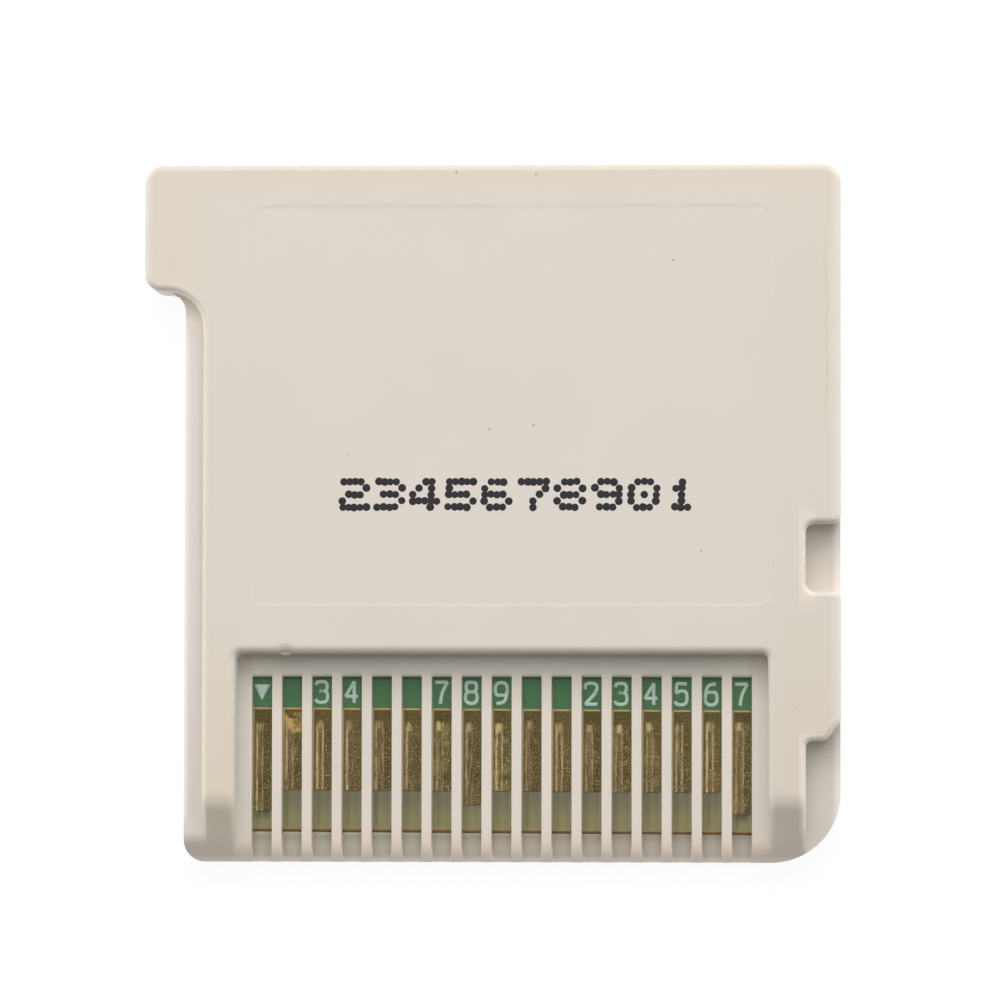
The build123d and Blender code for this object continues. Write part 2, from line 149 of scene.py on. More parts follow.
# Dot print on the panel: a plain row of digits
PRINT_DIGITS = "2345678901"
PRINT_START = (-7.42, 1.56)  # first dot of the upper row
PRINT_LENGTH = 17.66
PRINT_PITCH = 1.82
PRINT_GROWTH = 0.04  # spacing grows by this share from the middle to the right end
DOT_SPACING = (0.306, 0.318)
DOT_RADIUS = 0.195
DOT_HEIGHT = 0.006
DOT_SINK = 0.004  # dots start this far below the panel
DOT_SHIFT = 0.025  # dots are off their grid by up to this much
DOT_SHIFT_SEED = 5
DOT_SPREAD = 0.07  # their radii vary by this share
DOT_SPREAD_SEED = 6
DOT_SLANT = 0.045  # digits lean towards +X by this share of their height
DROP_SIDES = 14
DIGIT_DOTS = {
    "0": (".###.", "#...#", "#.#.#", "#...#", ".###."),
    "1": ("..#..", ".##..", "..#..", "..#..", ".###."),
    "2": ("####.", "....#", ".###.", "#....", "#####"),
    "3": ("####.", "....#", ".###.", "....#", "####."),
    "4": ("..##.", ".#.#.", "#..#.", "#####", "...#."),
    "5": ("#####", "#....", "####.", "....#", "####."),
    "6": (".###.", "#....", "####.", "#...#", ".###."),
    "7": ("#####", "....#", "...#.", "..#..", "..#.."),
    "8": (".###.", "#...#", ".###.", "#...#", ".###."),
    "9": (".###.", "#...#", ".####", "....#", ".###."),
}

# Screen print on the green film: a marker at the first contact, and the last digit of other contacts
FIGURE_CONTACTS = (3, 4, 7, 8, 9, 12, 13, 14, 15, 16, 17)
FIGURE_MIDDLE = 0.79  # above the heads of the contacts
FIGURE_WIDTH = 0.6
FIGURE_HEIGHT = 1.06
FIGURE_STROKE = 0.175
FIGURE_THICKNESS = 0.012
FIGURE_OVERLAP = 0.02  # strokes go on by this much past their ends
MARKER_WIDTH = 0.85
MARKER_HEIGHT = 0.82
MARKER_TIP = 0.02  # share of the width that is left at the tip
MARKER_DROP = 0.03  # below the middle of the figures
MARKER_RINGS = 6
LOOP = ((0.5, 1.0), (0.0, 1.0), (0.0, 0.0), (1.0, 0.0), (1.0, 1.0), (0.5, 1.0))
SIX = (((0.86, 1.0), (0.2, 0.94), (0.0, 0.5), (0.0, 0.28)), tuple((x, 0.6 * y) for x, y in LOOP))
FIGURE_STROKES = {
    "2": (((0.0, 0.74), (0.0, 1.0), (1.0, 1.0), (1.0, 0.6), (0.0, 0.0)), ((0.0, 0.0), (1.0, 0.0))),
    "3": (
        ((0.0, 0.84), (0.1, 1.0), (0.95, 1.0), (0.95, 0.54), (0.35, 0.54)),
        ((0.45, 0.54), (1.0, 0.54), (1.0, 0.0), (0.1, 0.0), (0.0, 0.16)),
    ),
    "4": (((0.72, 0.0), (0.72, 1.0)), ((0.72, 1.0), (0.0, 0.3)), ((0.0, 0.3), (1.0, 0.3))),
    "5": (
        ((0.95, 1.0), (0.12, 1.0)),
        ((0.12, 1.0), (0.08, 0.55)),
        ((0.08, 0.56), (0.5, 0.68), (1.0, 0.62), (1.0, 0.0), (0.1, 0.0), (0.0, 0.16)),
    ),
    "6": SIX,
    "7": (((0.0, 1.0), (1.0, 1.0)), ((1.0, 1.0), (0.55, 0.5), (0.42, 0.0))),
    "8": (
        tuple((0.06 + 0.88 * x, 0.54 + 0.46 * y) for x, y in LOOP),
        tuple((x, 0.54 * y) for x, y in LOOP),
    ),
    "9": tuple(tuple((1 - x, 1 - y) for x, y in stroke) for stroke in SIX),
}

# Moulding flash on the rim of the contact recess
FLASH_MIDDLE = (-10.34, -6.9, 3.42)
FLASH_RADII = (0.38, 0.24, 0.2)
FLASH_RINGS = 13
FLASH_SIDES = 24

# Brown strip in the gap along the board's edge, standing in for the cut edge and the gap's shade
GAP_FILL_WIDTH = 0.05
GAP_FILL_DROP = 0.015  # below the lip
GAP_FILL_STEPS = 60

# Specks of dirt on the rear face, the largest first
SPECK_PLACES = (
    (2.1, 4.4), (-1.8, 17.1), (2.2, 17.0), (9.1, 12.7), (-0.1, 4.2), (10.5, -1.9),
    (15.3, -9.7), (-7.2, 2.9), (-0.1, 16.9), (14.1, -2.5), (-11.1, 13.9),
)
SPECK_RADII = (0.055, 0.02)  # of the first and of the last
SPECK_HEIGHT = 0.006
SPECK_SINK = 0.04  # specks start this far below the rear face

# Wear of the contacts, which are counted from 1
SMEARED_CONTACT = 2
SPOTTED_CONTACT = 16
SECOND_DRAW = 40.0  # on top of a contact's number, for three more chances


def srgb(red, green, blue):
    """Linear colour of a display colour given from 0 to 255."""
    share = np.array([red, green, blue]) / 255
    linear = np.where(share <= 0.04045, share / 12.92, ((share + 0.055) / 1.055) ** 2.4)
    return (*linear, 1.0)


# Meshes

def new_object(name, data):
    """Object of a mesh, lamp or camera, put into the scene."""
    thing = bpy.data.objects.new(name, data)
    bpy.context.scene.collection.objects.link(thing)
    return thing


def add_piece(mesh, material):
    """Puts a mesh whose place is in its points into the scene, on the card's one body."""
    piece = new_object(mesh.name, mesh)
    mesh.materials.append(material)
    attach(piece, "root")
    return piece


def mesh_of(name, points, faces):
    """Mesh from an array of points in millimetres and a list of faces, shaded smooth."""
    mesh = bpy.data.meshes.new(name)
    mesh.from_pydata(np.asarray(points, float).reshape(-1, 3) * MM, [], faces)
    mesh.shade_smooth()
    return mesh


def ring_faces(count, rings, sides):
    """Faces of stacked rings, for several like bodies: quads between rings, and a cap at each end."""
    body = np.arange(count)[:, None, None] * rings * sides
    ring = np.arange(rings - 1)[None, :, None] * sides
    side = np.arange(sides)[None, None, :]
    after = (side + 1) % sides
    low = body + ring
    high = low + sides
    quads = np.stack([low + side, low + after, high + after, high + side], axis=-1).reshape(-1, 4)
    first = (np.arange(count) * rings * sides)[:, None]
    bottoms = first + np.arange(sides)[::-1]
    tops = first + (rings - 1) * sides + np.arange(sides)
    return quads.tolist() + bottoms.tolist() + tops.tolist()


def drops(name, centres, radii, height, sink):
    """Flat drops on a level surface. Around each centre the radius shrinks from ring to ring as the cosine
    of an angle while the level rises as its sine, from just below the surface up to the height."""
    centres = np.asarray(centres, float)
    radii = np.asarray(radii, float)
    rise = np.radians([0, 0, 30, 55, 75])
    turn = np.linspace(0, 2 * pi, DROP_SIDES, endpoint=False)
    level = height * np.sin(rise)
    level[0] = -sink
    reach = radii[:, None, None] * np.cos(rise)[None, :, None]
    points = np.empty((len(centres), len(rise), len(turn), 3))
    points[..., 0] = centres[:, 0, None, None] + reach * np.cos(turn)
    points[..., 1] = centres[:, 1, None, None] + reach * np.sin(turn)
    points[..., 2] = centres[:, 2, None, None] + level[None, :, None]
    return mesh_of(name, points, ring_faces(len(centres), len(rise), len(turn)))


def on_panel_border(places):
    """Tells which edges, given by the places of their two ends, run level along the border of the panel."""
    level = np.abs(places[:, 0, 2] - places[:, 1, 2]) < EVEN
    high = (places[..., 2] > PANEL_LEVEL - EVEN).all(axis=1)
    inside = (np.abs(places[..., :2] - PANEL_MIDDLE) < PANEL_HALF).all(axis=(1, 2))
    return level & high & inside


def on_free_rim(places):
    """Tells which edges, given by the places of their two ends, are outer rims that no other shell covers:
    level edges on the outline of the side floors, and the edges of the guide flange and the lip."""
    x, y, z = places[..., 0], places[..., 1], places[..., 2]
    corner_x, corner_y = RIGHT - LEAD_CORNER, CONTACT_EDGE + LEAD_CORNER
    in_corner = (x > corner_x) & (y < corner_y)
    corner_inset = LEAD_CORNER - np.hypot(x - corner_x, y - corner_y)
    inset = np.where(in_corner, corner_inset, np.minimum(RIGHT - x, y - CONTACT_EDGE))
    on_right = (inset < NEAR) & (np.abs(z - SIDE_FLOOR_LEVEL) < NEAR) & (x > 0)
    on_left = (x < FLANGE_SIDE + NEAR) & (y < TAB_FOOT) & (z > FLANGE_FOOT)
    on_lip = (y < CONTACT_EDGE + NEAR) & (z > LIP_FOOT)
    level = np.abs(z[:, 0] - z[:, 1]) < RIM_FALL
    return (on_right.all(axis=1) | on_left.all(axis=1) | on_lip.all(axis=1)) & level


def shell_copy(node):
    """Copy of a moulded shell: the corners of its triangles are merged and flat areas become single faces.
    Its free outer rims are marked for the wider of two bevels."""
    work = bmesh.new()
    work.from_mesh(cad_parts[node].data)
    bmesh.ops.remove_doubles(work, verts=work.verts[:], dist=MERGE_REACH * MM)
    bmesh.ops.dissolve_limit(work, angle_limit=FLAT_ANGLE, verts=work.verts[:], edges=work.edges[:])
    points = [vertex.co.copy() for vertex in work.verts]
    work.verts.index_update()
    faces = [[vertex.index for vertex in face.verts] for face in work.faces]
    work.free()
    mesh = bpy.data.meshes.new(f"moulded_{node}")
    mesh.from_pydata(points, [], faces)
    mesh.shade_smooth()
    mesh.set_sharp_from_angle(angle=SHARP_ANGLE)
    ends = np.empty(len(mesh.edges) * 2, np.int32)
    mesh.edges.foreach_get("vertices", ends)
    places = np.array(points)[ends].reshape(-1, 2, 3) / MM
    sharp = np.empty(len(mesh.edges), bool)
    mesh.edges.foreach_get("use_edge_sharp", sharp)
    mesh.edges.foreach_set("use_edge_sharp", sharp | on_panel_border(places))
    rims = mesh.attributes.new("bevel_weight_edge", "FLOAT", "EDGE")
    rims.data.foreach_set("value", on_free_rim(places).astype(np.float32))
    return mesh


def soften(piece, name, width, segments, limit):
    """Adds a bevel to a piece, along its sharp edges or along the edges that carry a weight."""
    bevel = piece.modifiers.new(name, "BEVEL")
    bevel.width = width * MM
    bevel.segments = segments
    bevel.limit_method = limit
    bevel.angle_limit = SHARP_ANGLE


def settle(piece):
    """Gives a piece the mesh that its modifiers make, with the points that fall on each other merged."""
    shaped = piece.evaluated_get(bpy.context.evaluated_depsgraph_get())
    work = bmesh.new()
    work.from_mesh(shaped.to_mesh())
    bmesh.ops.remove_doubles(work, verts=work.verts[:], dist=BEVEL_MERGE_REACH * MM)
    work.to_mesh(piece.data)
    work.free()
    shaped.to_mesh_clear()
    piece.modifiers.clear()


def print_dots():
    """Centres of the printed dots: digit by digit, row by row, where the digit's picture has a mark. The
    spacing grows evenly along the row, and each dot is a little off its grid."""
    pictures = np.array([[list(marks) for marks in DIGIT_DOTS[digit]] for digit in PRINT_DIGITS])
    place, row, column = np.nonzero(pictures == "#")
    along = place * PRINT_PITCH + column * DOT_SPACING[0]
    along = along * (1 + PRINT_GROWTH * (along - PRINT_LENGTH) / PRINT_LENGTH)
    down = row * DOT_SPACING[1]
    shift = np.random.default_rng(DOT_SHIFT_SEED).uniform(-DOT_SHIFT, DOT_SHIFT, (2, len(along)))
    x = PRINT_START[0] + along - down * DOT_SLANT + shift[0]
    y = PRINT_START[1] - down + shift[1]
    return np.stack([x, y, np.full(len(x), PANEL_LEVEL)], axis=-1)


def code_dots():
    """Mesh of the printed row: a flat drop at each dot, with radii that vary a little."""
    centres = print_dots()
    spread = np.random.default_rng(DOT_SPREAD_SEED).uniform(-DOT_SPREAD, DOT_SPREAD, len(centres))
    return drops("code_dots", centres, DOT_RADIUS * (1 + spread), DOT_HEIGHT, DOT_SINK)


def dirt_specks():
    """Mesh of the specks of dirt: flat drops on the rear face, each smaller than the one before."""
    centres = [(x, y, REAR_FACE) for x, y in SPECK_PLACES]
    radii = np.linspace(*SPECK_RADII, len(centres))
    return drops("dirt_specks", centres, radii, SPECK_HEIGHT, SPECK_SINK)


def ribbon(path, widths, level):
    """Printed strip along a path in the plane: at each point of the path a low crown stands across the
    path's direction, as high as the cosine of the place across it."""
    path = np.asarray(path, float)
    towards = np.gradient(path, axis=0)
    towards /= np.linalg.norm(towards, axis=1)[:, None]
    across = np.stack([-towards[:, 1], towards[:, 0]], axis=-1) * np.asarray(widths)[:, None] / 2
    places = np.array([-1.0, 1.0, 1.0, 0.5, 0.0, -0.5, -1.0])
    heights = FIGURE_THICKNESS * np.cos(places * pi / 2)
    heights[:2] = -FIGURE_THICKNESS
    points = np.empty((len(path), len(places), 3))
    points[..., :2] = path[:, None] + across[:, None] * places[None, :, None]
    points[..., 2] = level + heights
    return points


def rounded_path(corners, rounds=3):
    """Path through a chain of corners, each round cutting every corner at a quarter of its two sides."""
    path = np.asarray(corners, float)
    for _ in range(rounds):
        first = path[:-1] * 0.75 + path[1:] * 0.25
        second = path[:-1] * 0.25 + path[1:] * 0.75
        inner = np.stack([first, second], axis=1).reshape(-1, 2)
        path = np.concatenate([path[:1], inner, path[-1:]])
    return path


def lengthened(path, length):
    """Path whose two ends go on by a length, each in its own direction."""
    onward = path[[0, -1]] - path[[1, -2]]
    onward *= length / np.linalg.norm(onward, axis=1)[:, None]
    return np.concatenate([path[:1] + onward[:1], path[1:-1], path[-1:] + onward[1:]])


def on_row(points):
    """Turns points of the contact row's own axes into places on the card."""
    turned = np.array(points, float)
    turned[..., 0] = ROW_MIDDLE[0] + points[..., 0] * cos(ROW_TURN) - points[..., 1] * sin(ROW_TURN)
    turned[..., 1] = ROW_MIDDLE[1] + points[..., 0] * sin(ROW_TURN) + points[..., 1] * cos(ROW_TURN)
    return turned


def screen_print():
    """Mesh of the printed marker and figures: a strip for each stroke, on the film above its contact."""
    first = -(CONTACT_COUNT - 1) / 2 * CONTACT_PITCH
    middle = PAD_HEAD + FIGURE_MIDDLE
    fall = np.linspace(0.5, -0.5, MARKER_RINGS)
    marker = np.stack([np.full(MARKER_RINGS, first), middle - MARKER_DROP + fall * MARKER_HEIGHT], axis=-1)
    strips = [ribbon(marker, MARKER_WIDTH * (fall + 0.5 + MARKER_TIP), FILM_TOP)]
    for contact in FIGURE_CONTACTS:
        for stroke in FIGURE_STROKES[str(contact % 10)]:
            path = rounded_path(stroke)
            x = first + (contact - 1) * CONTACT_PITCH + (path[:, 0] - 0.5) * FIGURE_WIDTH
            y = middle + (path[:, 1] - 0.5) * FIGURE_HEIGHT
            line = lengthened(np.stack([x, y], axis=-1), FIGURE_OVERLAP)
            strips.append(ribbon(line, np.full(len(line), FIGURE_STROKE), FILM_TOP))
    points = np.concatenate([strip.reshape(-1, 3) for strip in strips])
    faces = []
    start = 0
    for strip in strips:
        rings, sides = strip.shape[:2]
        faces += [[start + corner for corner in face] for face in ring_faces(1, rings, sides)]
        start += rings * sides
    return mesh_of("screen_print", on_row(points), faces)


def gap_fill_strip():
    """Mesh of the brown strip in the gap between the board's edge and the lip, which stands in for the cut
    edge
    and the shade of the gap: one strip under all slots.
    """
    x = ROW_MIDDLE[0] + np.linspace(-ROW_HALF, ROW_HALF, GAP_FILL_STEPS)
    y = BOARD_LOW[1] + (x - BOARD_HIGH[0]) * tan(ROW_TURN) - GAP_FILL_WIDTH / 3
    strip = ribbon(np.stack([x, y], axis=-1), np.full(len(x), GAP_FILL_WIDTH), LIP_LEVEL - GAP_FILL_DROP)
    return mesh_of("gap_fill_strip", strip, ring_faces(1, *strip.shape[:2]))


def moulding_flash():
    """Mesh of the bead of flash: rings at even latitudes, each as wide as the cosine of its latitude and as
    high as its sine, times the three radii."""
    latitude = np.radians(np.linspace(-84, 84, FLASH_RINGS))[:, None]
    turn = np.linspace(0, 2 * pi, FLASH_SIDES, endpoint=False)[None, :]
    points = np.empty((FLASH_RINGS, FLASH_SIDES, 3))
    points[..., 0] = FLASH_MIDDLE[0] + FLASH_RADII[0] * np.cos(latitude) * np.cos(turn)
    points[..., 1] = FLASH_MIDDLE[1] + FLASH_RADII[1] * np.cos(latitude) * np.sin(turn)
    points[..., 2] = FLASH_MIDDLE[2] + FLASH_RADII[2] * np.sin(latitude)
    return mesh_of("moulding_flash", points, ring_faces(1, FLASH_RINGS, FLASH_SIDES))


# Materials

class Finish:
    """One procedural material around a Principled shader, with short calls for the nodes it needs. x, y and
    z are the place on the card in millimetres. A mask is an output from 0 to 1, and colours are painted one
    over the other through masks."""

    def __init__(self, name):
        self.material = bpy.data.materials.new(name)
        self.material.use_nodes = True
        self.tree = self.material.node_tree
        self.shader = self.tree.nodes["Principled BSDF"]
        self.colour = None  # laid by ground, and painted over after that
        scale = self.add("ShaderNodeMapping", Vector=self.add("ShaderNodeTexCoord").outputs["Object"])
        scale.inputs["Scale"].default_value = (1 / MM, 1 / MM, 1 / MM)
        self.place = scale.outputs[0]
        self.x, self.y, self.z = self.add("ShaderNodeSeparateXYZ", Vector=self.place).outputs

    def add(self, kind, settings=None, **inputs):
        """New node with its settings and inputs, each input a constant or another node's output."""
        node = self.tree.nodes.new(kind)
        for key, value in (settings or {}).items():
            setattr(node, key, value)
        for key, value in inputs.items():
            self.join(node.inputs[key.replace("_", " ")], value)
        return node

    def join(self, socket, value):
        """Links an output to a socket, or sets the socket itself."""
        if isinstance(value, bpy.types.NodeSocket):
            self.tree.links.new(value, socket)
        else:
            socket.default_value = value

    def math(self, operation, *values):
        """Math node over one to three values."""
        node = self.tree.nodes.new("ShaderNodeMath")
        node.operation = operation
        for socket, value in zip(node.inputs, values):
            self.join(socket, value)
        return node.outputs[0]

    def product(self, *values):
        """All values multiplied, for masks that hold together."""
        total = values[0]
        for value in values[1:]:
            total = self.math("MULTIPLY", total, value)
        return total

    def strongest(self, *values):
        """Largest of all values, for masks that lie side by side."""
        total = values[0]
        for value in values[1:]:
            total = self.math("MAXIMUM", total, value)
        return total

    def linear(self, value, slope, start):
        """A value times a slope, plus a start."""
        return self.math("MULTIPLY_ADD", value, slope, start)

    def distance(self, value, middle):
        """How far a value is from a middle, on either side."""
        return self.math("ABSOLUTE", self.math("SUBTRACT", value, middle))

    def equals(self, number, other):
        """1 where a whole number is another one."""
        return self.math("COMPARE", number, other, 0.5)

    def fade(self, value, start, end):
        """Smooth step from 0 at the start to 1 at the end."""
        node = self.add("ShaderNodeMapRange", {"interpolation_type": "SMOOTHSTEP"}, Value=value)
        node.inputs["From Min"].default_value = start
        node.inputs["From Max"].default_value = end
        return node.outputs[0]

    def band(self, value, middle, half):
        """1 in the middle of a band, falling softly to 0 at half its width on both sides."""
        return self.fade(self.distance(value, middle), half, half * 0.6)

    def line(self, value, middle, half):
        """Thin soft line: 1 at its middle, falling to 0 at half its width."""
        return self.fade(self.distance(value, middle), half, 0.0)

    def noise(self, scale, detail=2.0, place=None):
        """Cloudy noise with the given number of clouds per millimetre."""
        node = self.add("ShaderNodeTexNoise", Vector=place or self.place, Scale=scale, Detail=detail)
        return node.outputs["Fac"]

    def stretched(self, across, along):
        """Place with its own scales in X and Y, for fibres that run along the contacts."""
        node = self.add("ShaderNodeMapping", Vector=self.place)
        node.inputs["Scale"].default_value = (across, along, 1.0)
        return node.outputs[0]

    def on_contact(self):
        """Number of the contact from 0, place across it from 0 to 1, and distance below the heads."""
        row = self.add("ShaderNodeMapping", {"vector_type": "TEXTURE"}, Vector=self.place)
        row.inputs["Location"].default_value = ROW_MIDDLE
        row.inputs["Rotation"].default_value = (0, 0, ROW_TURN)
        along, up, _ = self.add("ShaderNodeSeparateXYZ", Vector=row.outputs[0]).outputs
        count = self.linear(along, 1 / CONTACT_PITCH, CONTACT_COUNT / 2)
        return self.math("FLOOR", count), self.math("FRACT", count), self.math("SUBTRACT", PAD_HEAD, up)

    def beside_ribs(self, across, right_share):
        """Mask of the strips of painted light along the ribs on both sides of a slot, the right one weaker.
        """
        right = self.product(self.fade(across, 0.75, 0.83), right_share)
        return self.strongest(self.fade(across, 0.29, 0.21), right)

    def chances(self, number):
        """Three even chances from 0 to 1 that belong to a whole number."""
        node = self.add("ShaderNodeTexWhiteNoise", {"noise_dimensions": "1D"}, W=number)
        return self.add("ShaderNodeSeparateColor", Color=node.outputs["Color"]).outputs

    def mix(self, factor, first, second):
        """Colour between two colours."""
        node = self.add("ShaderNodeMix", {"data_type": "RGBA"})
        self.join(node.inputs[0], factor)
        self.join(node.inputs[6], first)
        self.join(node.inputs[7], second)
        return node.outputs[2]

    def ground(self, factor, first, second):
        """Starts the finish with a colour between two colours."""
        self.colour = self.mix(factor, first, second)

    def paint(self, colour, *masks):
        """Lays a colour over the finish, as strongly as all the masks multiplied."""
        self.colour = self.mix(self.product(*masks), self.colour, colour)

    def bump(self, height, depth, strength):
        """Bump whose height of 1 stands for a depth in millimetres."""
        node = self.add("ShaderNodeBump", Height=height, Distance=depth * MM, Strength=strength)
        self.join(self.shader.inputs["Normal"], node.outputs[0])

    def shade(self, **inputs):
        """Gives the shader the painted colour, sets or links its other sockets, and returns the material."""
        for key, value in {"Base_Color": self.colour, **inputs}.items():
            self.join(self.shader.inputs[key.replace("_", " ")], value)
        return self.material


def paint_rear_face(finish, above_seam, towards_contacts, side_cuts):
    """Warm cast on the left rail, the tab, the grip edge and the right side, painted highlights on the rims,
    and painted shade on the rounded grip edge.
    """
    x, y, z = finish.x, finish.y, finish.z
    fade, product, strongest = finish.fade, finish.product, finish.strongest
    left_rail = product(fade(x, RAIL_SIDE + 2.525, RAIL_SIDE + 1.125), towards_contacts)
    tab = product(fade(x, LEFT + 3.975, LEFT + 1.475), 0.45)
    grip_edge = product(fade(y, GRIP_EDGE - 2.1, GRIP_EDGE - 0.5), 0.55)
    finish.paint(srgb(222, 209, 190), strongest(left_rail, tab, grip_edge), above_seam, 0.9)
    right_side = fade(x, RIGHT - 4.475, RIGHT - 2.475)
    finish.paint(srgb(217, 206, 192), right_side, finish.linear(towards_contacts, 0.7, 0.25), above_seam)
    # painted highlights on the rims of the rear face, the tab and the side cuts
    left_rim = product(fade(x, RAIL_SIDE + 0.375, RAIL_SIDE + 0.075), fade(y, TAB_FOOT + 1.0, TAB_FOOT))
    tab_rim = fade(x, LEFT + 0.475, LEFT + 0.075)
    right_rim = fade(x, RIGHT - 0.675, RIGHT - 0.075)
    cut_rim = product(finish.band(x, SIDE_CUT + 0.075, 0.5), side_cuts)
    finish.paint(srgb(231, 219, 206), strongest(left_rim, tab_rim, right_rim, cut_rim), above_seam)
    # painted shade on the rounded rim of the grip edge
    grip_rim = product(fade(y, GRIP_EDGE - 0.3, GRIP_EDGE - 0.15), fade(z, REAR_FACE - 0.5, REAR_FACE - 0.3))
    finish.paint(srgb(218, 207, 193), grip_rim)


def paint_flange(finish, towards_contacts):
    """Painted light on the wall under the tab. The guide flange is greyer towards the contacts, with a
    painted highlight along its side.
    """
    x, y, z = finish.x, finish.y, finish.z
    fade, product = finish.fade, finish.product
    # painted light on the wall under the tab
    under_tab = product(
        fade(x, RAIL_SIDE + 0.625, RAIL_SIDE + 0.325),
        fade(y, TAB_FOOT + 2.5, TAB_FOOT + 2.1), fade(y, TAB_FOOT - 0.9, TAB_FOOT + 0.3),
        fade(z, LABEL_FACE + 0.3, LABEL_FACE + 0.6), fade(z, REAR_FACE - 0.01, REAR_FACE - 0.2),
    )
    finish.paint(srgb(243, 233, 221), under_tab)
    flange = product(
        fade(x, FLANGE_SIDE + 0.925, FLANGE_SIDE + 0.425),
        fade(y, TAB_FOOT + 0.5, TAB_FOOT - 0.7), fade(y, CONTACT_EDGE + 1.5, CONTACT_EDGE + 2.7),
        fade(z, SEAM_LEVEL + 0.2, SEAM_LEVEL), fade(z, SEAM_LEVEL - 0.4, SEAM_LEVEL - 0.25),
    )
    tone = finish.mix(towards_contacts, srgb(221, 214, 207), srgb(213, 206, 199))
    # painted highlight along the flange's outer side
    side_highlight = fade(x, FLANGE_SIDE + 0.275, FLANGE_SIDE + 0.025)
    finish.paint(finish.mix(side_highlight, tone, srgb(236, 230, 225)), flange)


def paint_recess(finish):
    """Cooler ledges and lighter ribs in the recess with painted light on the rib walls, brown where they run
    out on the lead-in slope, and a lip that is darker towards the board."""
    y, z = finish.y, finish.z
    fade, product = finish.fade, finish.product
    off_row = finish.distance(finish.x, ROW_MIDDLE[0])
    in_recess = product(
        fade(off_row, RECESS_HALF, RECESS_HALF - 0.15), fade(y, RECESS_HEAD, RECESS_HEAD - 0.15)
    )
    above_lip = fade(z, LIP_LEVEL - 0.05, LIP_LEVEL + 0.1)
    sunk = product(in_recess, fade(z, SEAM_LEVEL, GRILLE_LEVEL + 0.1), above_lip)
    ledges = product(sunk, fade(off_row, ROW_HALF + 0.1, ROW_HALF + 0.25))
    ribs = product(sunk, fade(off_row, ROW_HALF + 0.2, ROW_HALF - 0.2))
    finish.paint(srgb(217, 210, 201), ledges)
    # painted light on the rib walls below their tops
    finish.paint(srgb(244, 235, 224), ribs, fade(z, GRILLE_LEVEL - 0.02, GRILLE_LEVEL - 0.07))
    finish.paint(srgb(229, 218, 206), ribs, 0.6)
    finish.paint(srgb(227, 221, 210), ribs, fade(y, SLOT_HEAD - 0.3, SLOT_HEAD + 0.1))
    slope = product(fade(y, CONTACT_EDGE + 2.2, CONTACT_EDGE + 0.5), fade(z, SEAM_LEVEL + 0.4, SEAM_LEVEL))
    finish.paint(srgb(214, 198, 178), slope, above_lip, 0.6)
    foot = fade(y, CONTACT_EDGE + 1.2, CONTACT_EDGE + 0.4)
    finish.paint(srgb(228, 211, 193), foot, ledges)
    finish.paint(srgb(242, 223, 205), foot, ribs)
    near_board = fade(y, CONTACT_EDGE + 0.7, CONTACT_EDGE + 1.45)
    lip_tone = finish.mix(near_board, srgb(201, 195, 182), srgb(171, 165, 147))
    on_lip = product(
        in_recess, fade(y, CONTACT_EDGE + 1.8, CONTACT_EDGE + 1.6),
        fade(z, LIP_LEVEL + 0.05, LIP_LEVEL - 0.03), fade(z, LIP_FOOT, LIP_FOOT + 0.1),
    )
    finish.paint(lip_tone, on_lip)


def paint_sides(finish, side_cuts):
    """Floors in the cuts of the right side with a painted highlight along the outline, a painted highlight
    along the contact edge, and a thin dark line at the seam."""
    x, y, z = finish.x, finish.y, finish.z
    fade = finish.fade
    # painted highlight along the outline of the side floors
    outline = fade(x, RIGHT - 0.475, RIGHT - 0.075)
    floor_tone = finish.mix(outline, srgb(211, 203, 193), srgb(236, 228, 218))
    on_floor = finish.product(
        side_cuts, fade(x, SIDE_CUT - 0.325, SIDE_CUT + 0.075),
        fade(z, SIDE_FLOOR_LEVEL + 0.2, SIDE_FLOOR_LEVEL + 0.05),
        fade(z, SIDE_FLOOR_LEVEL - 0.2, SIDE_FLOOR_LEVEL - 0.1),
    )
    finish.paint(floor_tone, on_floor)
    # painted highlight along the contact edge
    contact_edge = fade(y, CONTACT_EDGE + 0.4, CONTACT_EDGE + 0.05)
    finish.paint(srgb(238, 228, 219), contact_edge, fade(z, LIP_FOOT - 0.1, LIP_FOOT), 0.85)
    walls = finish.strongest(
        fade(y, GRIP_EDGE - 0.15, GRIP_EDGE - 0.05),
        fade(x, RIGHT - 0.125, RIGHT - 0.025), fade(x, LEFT + 0.125, LEFT + 0.025),
    )
    finish.paint(srgb(168, 158, 144), walls, finish.line(z, SEAM_LEVEL, 0.07), 0.8)


def paint_traces(finish, above_seam):
    """Painted shade around the moulding flash, and a long wavering scratch along the right side."""
    x, y = finish.x, finish.y
    flash_x, flash_y, _ = FLASH_MIDDLE
    # painted shade around the moulding flash
    flash_shade = finish.product(finish.line(x, flash_x, 0.55), finish.band(y, flash_y + 0.12, 0.32))
    finish.paint(srgb(190, 178, 166), flash_shade, above_seam, 0.6)
    wave = finish.linear(finish.noise(0.35), 0.5, -0.25)
    scratch = finish.line(finish.math("ADD", x, wave), RIGHT - 0.755, 0.13)
    breaks = finish.linear(finish.noise(1.2), 0.7, 0.1)
    finish.paint(srgb(208, 192, 168), scratch, finish.band(y, 9.2, 5.6), breaks, above_seam)


